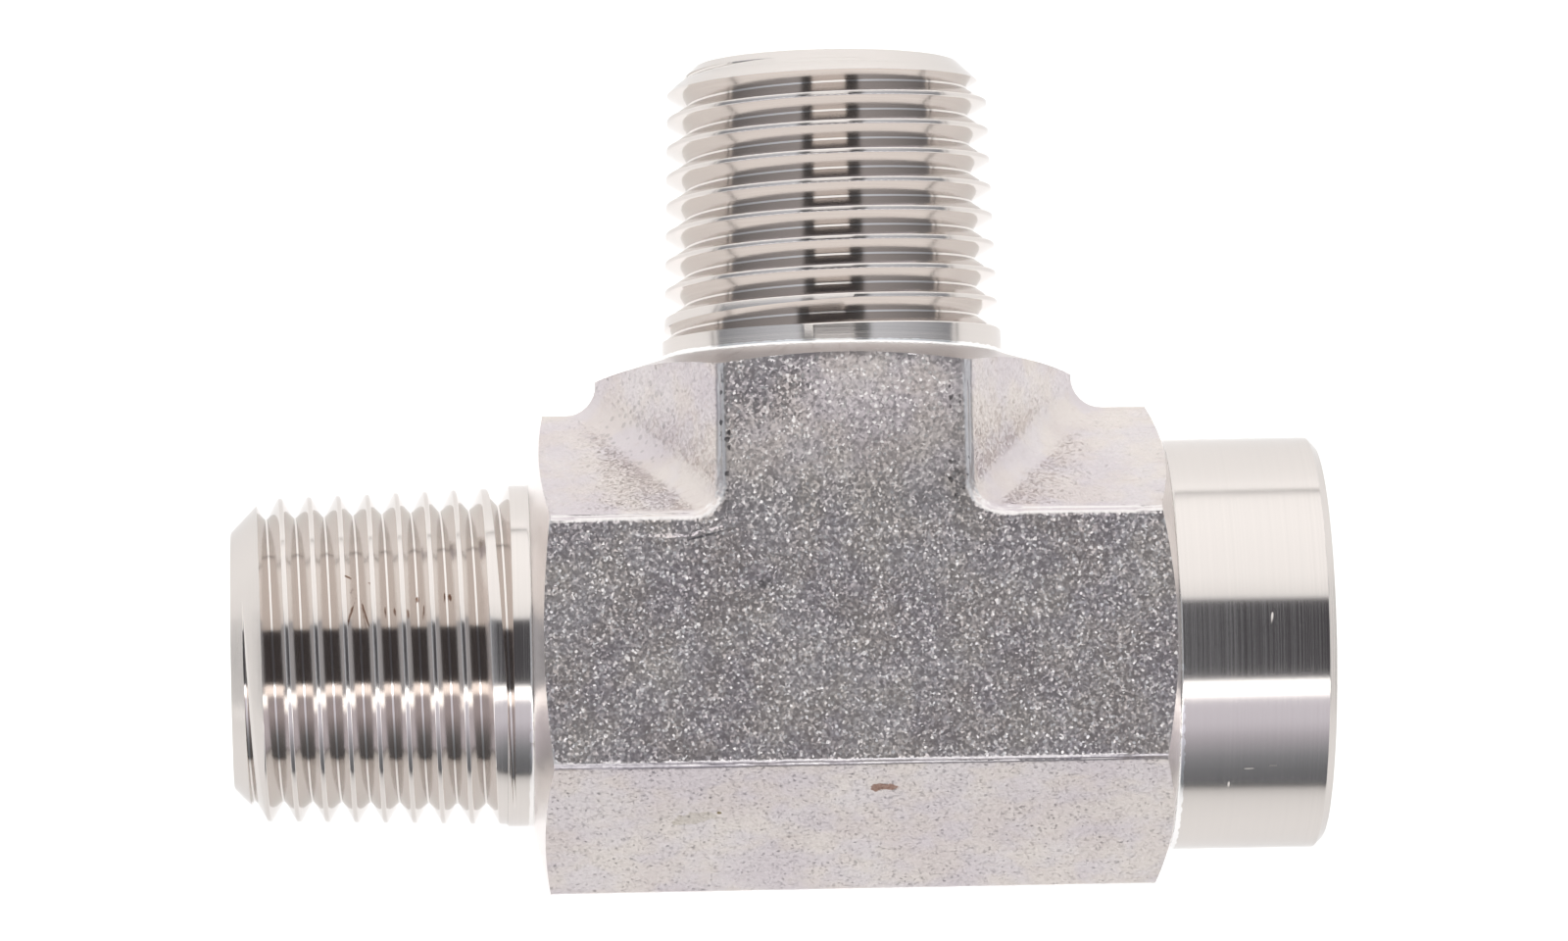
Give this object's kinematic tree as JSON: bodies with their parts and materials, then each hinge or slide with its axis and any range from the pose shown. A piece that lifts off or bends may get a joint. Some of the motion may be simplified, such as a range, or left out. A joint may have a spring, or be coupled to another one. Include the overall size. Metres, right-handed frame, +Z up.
{
  "type": "threaded tee",
  "caption": "Forged hexagonal pipe tee with machined ends: male taper thread at one end of the run and on the branch, female threaded socket at the other end of the run.",
  "frame": {"origin": "on the lower wide flat that the tee lies on, straight under the point where the run and branch axes cross", "axes": "+X along the run towards the female end, +Y along the branch, +Z up from the flat that it lies on"},
  "size_m": [0.0683, 0.0521, 0.027],
  "materials": {
    "stainless": "blasted forged hexagon body, bright turned threads and collars"
  },
  "bodies": {
    "root": {"tee_body": "stainless"}
  },
  "joints": []
}
